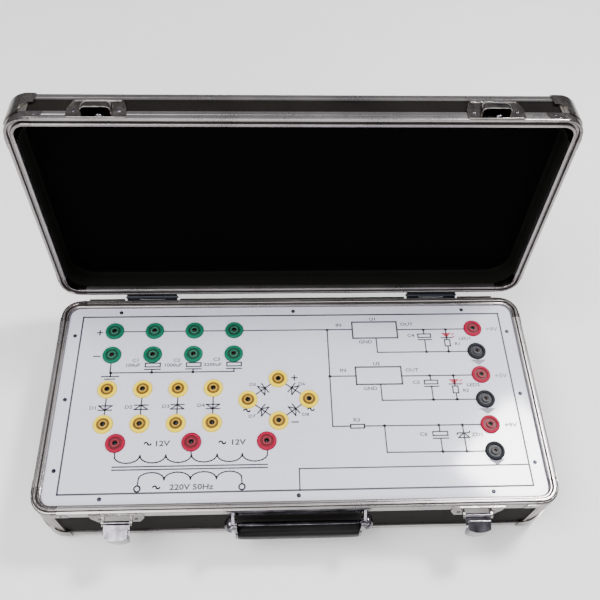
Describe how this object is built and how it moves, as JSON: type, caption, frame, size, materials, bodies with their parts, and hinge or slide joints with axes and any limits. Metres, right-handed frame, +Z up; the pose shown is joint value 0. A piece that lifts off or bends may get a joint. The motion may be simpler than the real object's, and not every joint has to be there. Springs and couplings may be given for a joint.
{
  "type": "power supply trainer",
  "caption": "Briefcase style bench trainer: a socketed circuit panel in an aluminium edged case with a hinged lid, draw latches and a drop handle.",
  "frame": {"origin": "middle of the opened case's bounding box, on the plane that its feet stand on", "axes": "+X to the right seen from the front, +Y from the handle towards the lid's hinges, +Z up"},
  "size_m": [0.4624, 0.2924, 0.2957],
  "materials": {
    "aluminium_trim": "brushed extrusion, satin",
    "bright_fittings": "pressed steel, bright plated",
    "case_board": "thin plywood faced with dark laminate",
    "batten_wood": "sawn",
    "lid_lining": "black moulded foam, matte",
    "panel_sheet": "printed sheet, satin",
    "green_plastic": "glossy",
    "yellow_plastic": "glossy",
    "red_plastic": "glossy",
    "black_plastic": "glossy",
    "socket_metal": "plated",
    "grip_plastic": "moulded, fine grain",
    "foot_rubber": "matte",
    "board_laminate": "green solder mask",
    "component_body": "moulded",
    "sink_metal": "anodised",
    "core_steel": "laminated, varnished",
    "winding_copper": "enamelled copper wire, taped",
    "inlet_plastic": "moulded",
    "rocker_plastic": "moulded"
  },
  "bodies": {
    "base": {"base_floor_board": "case_board", "base_front_board": "case_board", "base_side_boards": "case_board", "base_back_board": "case_board", "base_bottom_rails": "aluminium_trim", "base_corner_posts": "aluminium_trim", "base_rim_rails": "aluminium_trim", "base_rim_corners": "aluminium_trim", "base_bottom_corners": "bright_fittings", "rubber_feet": "foot_rubber", "faceplate": "panel_sheet", "faceplate_screws": "bright_fittings", "panel_battens": "batten_wood", "green_sockets": "green_plastic", "yellow_sockets": "yellow_plastic", "red_sockets": "red_plastic", "black_sockets": "black_plastic", "socket_sleeves": "socket_metal", "hinge_base_leaves": "bright_fittings", "hinge_pins": "bright_fittings", "handle_plate": "bright_fittings", "handle_pins": "bright_fittings", "latch_plates": "bright_fittings", "latch_pins": "bright_fittings", "mains_inlet": "inlet_plastic", "inlet_pins": "socket_metal", "rocker_frame": "inlet_plastic", "board_standoffs": "bright_fittings", "circuit_board": "board_laminate", "filter_capacitors": "component_body", "rectifier_diodes": "component_body", "board_resistors": "component_body", "voltage_regulators": "component_body", "regulator_heatsinks": "sink_metal", "transformer_core": "core_steel", "transformer_winding": "winding_copper", "transformer_bracket": "core_steel"},
    "lid": {"lid_roof_board": "case_board", "lid_wall_boards": "case_board", "lid_roof_rails": "aluminium_trim", "lid_corner_posts": "aluminium_trim", "lid_rim_rails": "aluminium_trim", "lid_rim_corners": "aluminium_trim", "lid_roof_corners": "bright_fittings", "lid_lining": "lid_lining", "catch_plates": "bright_fittings", "hinge_lid_leaves": "bright_fittings"},
    "handle": {"handle_arms": "bright_fittings", "handle_grip": "grip_plastic"},
    "left_strap": {"left_latch_strap": "bright_fittings"},
    "left_thumb": {"left_thumb_lever": "bright_fittings"},
    "right_strap": {"right_latch_strap": "bright_fittings"},
    "right_thumb": {"right_thumb_lever": "bright_fittings"},
    "rocker": {"mains_rocker": "rocker_plastic"}
  },
  "joints": [
    {"name": "lid_hinge", "type": "hinge", "parent": "base", "child": "lid", "pos_m": [0, 0.09413, 0.07015], "axis": [1, 0, 0], "range_deg": [0, 95]},
    {"name": "handle_swing", "type": "hinge", "parent": "base", "child": "handle", "pos_m": [0, -0.13328, 0.057], "axis": [-1, 0, 0], "range_deg": [0, 95]},
    {"name": "rocker_tilt", "type": "hinge", "parent": "base", "child": "rocker", "pos_m": [-0.104, 0.08532, 0.032], "axis": [1, 0, 0], "range_deg": [0, 16]},
    {"name": "left_strap_hinge", "type": "hinge", "parent": "base", "child": "left_strap", "pos_m": [-0.156, -0.13078, 0.06], "axis": [-1, 0, 0], "range_deg": [0, 76]},
    {"name": "left_thumb_hinge", "type": "hinge", "parent": "left_strap", "child": "left_thumb", "pos_m": [-0.156, -0.14259, 0.05792], "axis": [1, 0, 0], "range_deg": [0, 68]},
    {"name": "right_strap_hinge", "type": "hinge", "parent": "base", "child": "right_strap", "pos_m": [0.156, -0.13078, 0.06], "axis": [-1, 0, 0], "range_deg": [0, 76]},
    {"name": "right_thumb_hinge", "type": "hinge", "parent": "right_strap", "child": "right_thumb", "pos_m": [0.156, -0.14259, 0.05792], "axis": [1, 0, 0], "range_deg": [0, 68]}
  ]
}
